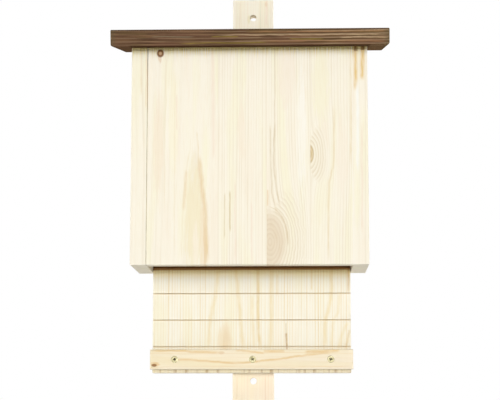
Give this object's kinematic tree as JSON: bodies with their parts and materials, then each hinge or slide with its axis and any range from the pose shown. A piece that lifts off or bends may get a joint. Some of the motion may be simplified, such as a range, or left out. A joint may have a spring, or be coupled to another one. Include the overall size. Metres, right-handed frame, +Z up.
{
  "type": "bat box",
  "caption": "Flat wall-hung bat box with a roost open at the bottom, a grooved back board with a landing batten, a sloping stained roof and a hanging batten.",
  "frame": {"origin": "centre of the upper hanging hole, on the back face of the hanging batten, which lies on the wall", "axes": "+Z up, +Y into the wall, so the front of the box faces -Y; +X to the right seen from the front"},
  "size_m": [0.315, 0.1535, 0.485],
  "materials": {
    "spruce_panel": "planed bare glued spruce panel",
    "spruce_back": "bare spruce with saw kerfs",
    "spruce_batten": "planed bare spruce",
    "stained_roof": "dark brown stained spruce",
    "zinc_screw": "zinc plated steel",
    "brad_steel": "plain steel wire"
  },
  "bodies": {
    "root": {"back_board": "spruce_back", "front_board": "spruce_panel", "side_board_left": "spruce_panel", "side_board_right": "spruce_panel", "roof_board": "stained_roof", "hanging_batten": "spruce_batten", "landing_batten": "spruce_batten", "landing_screws": "zinc_screw", "roof_screws": "zinc_screw", "batten_screws": "zinc_screw", "side_brads_left": "brad_steel", "side_brads_right": "brad_steel"}
  },
  "joints": []
}
